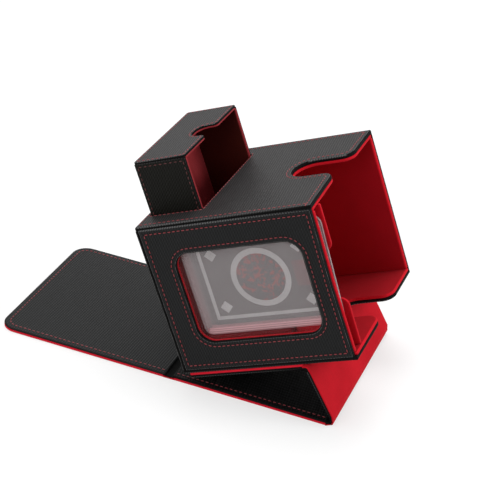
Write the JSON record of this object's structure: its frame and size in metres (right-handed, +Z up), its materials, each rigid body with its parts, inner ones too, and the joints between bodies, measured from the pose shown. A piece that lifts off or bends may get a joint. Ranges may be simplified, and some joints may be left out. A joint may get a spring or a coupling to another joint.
{
  "type": "card storage box",
  "caption": "Leather-clad card box tilted on a stand folded from its wrap-around cover, with a display window, a clear card holder, thumb notches and a pull-out dice drawer.",
  "frame": {"origin": "middle of the footprint, on the table under the lid and flap panels", "axes": "+X from the flap towards the mouth side, +Y from the window front to the back, +Z up"},
  "size_m": [0.2594, 0.127, 0.159],
  "materials": {
    "black_leather": "fine cross grain",
    "red_suede": "short nap",
    "suede_board": "board under suede",
    "grey_board": "pressed board",
    "magnet_steel": "plated",
    "clear_plastic": "clear",
    "clear_film": "clear",
    "printed_card": "satin print"
  },
  "bodies": {
    "box": {"back_wall_board": "grey_board", "back_wall_leather": "black_leather", "back_wall_lining": "red_suede", "bottom_wall_board": "grey_board", "bottom_wall_leather": "black_leather", "bottom_wall_lining": "red_suede", "deck_floor": "suede_board", "drawer_guide_back": "suede_board", "drawer_guide_front": "suede_board", "front_wall_board": "grey_board", "front_wall_leather": "black_leather", "front_wall_lining": "red_suede", "left_wall_board": "grey_board", "left_wall_leather": "black_leather", "left_wall_lining": "red_suede", "mount_board": "grey_board", "mount_leather": "black_leather", "mount_lining": "red_suede", "partition": "suede_board", "right_wall_board": "grey_board", "right_wall_leather": "black_leather", "right_wall_lining": "red_suede", "slot_rail_lower": "suede_board", "slot_rail_upper": "suede_board", "slot_stop": "suede_board", "stand_fold": "black_leather", "wall_magnets": "magnet_steel", "window_film": "clear_film"},
    "drawer": {"drawer_end_board": "grey_board", "drawer_end_leather": "black_leather", "drawer_end_lining": "red_suede", "drawer_tray_board": "grey_board", "drawer_tray_leather": "black_leather", "drawer_tray_lining": "red_suede"},
    "card_holder": {"display_card": "printed_card", "holder_back": "clear_plastic", "holder_front": "clear_plastic", "holder_keeper": "magnet_steel", "holder_magnet": "magnet_steel"},
    "prop": {"lid_fold": "black_leather", "prop_board": "grey_board", "prop_leather": "black_leather", "prop_lining": "red_suede"},
    "lid": {"flap_fold": "black_leather", "lid_board": "grey_board", "lid_leather": "black_leather", "lid_lining": "red_suede"},
    "flap": {"flap_board": "grey_board", "flap_leather": "black_leather", "flap_lining": "red_suede", "flap_magnets": "magnet_steel"}
  },
  "joints": [
    {"name": "drawer_slide", "type": "slide", "parent": "box", "child": "drawer", "axis": [0.3891, 0, -0.9212], "range_m": [-0.05, 0.038]},
    {"name": "card_holder_slide", "type": "slide", "parent": "box", "child": "card_holder", "axis": [-0.9212, 0, -0.3891], "range_m": [-0.095, 0]},
    {"name": "stand_fold", "type": "hinge", "parent": "box", "child": "prop", "pos_m": [0.09614, -0.062, 0.03823], "axis": [0, -1, 0], "range_deg": [0, 80.75]},
    {"name": "lid_fold", "type": "hinge", "parent": "prop", "child": "lid", "pos_m": [0.11822, -0.062, 0.0031], "axis": [0, -1, 0], "range_deg": [0, 212.15]},
    {"name": "flap_fold", "type": "hinge", "parent": "lid", "child": "flap", "pos_m": [0.00122, -0.062, 0.0031], "axis": [0, -1, 0], "range_deg": [-55, 90]}
  ]
}
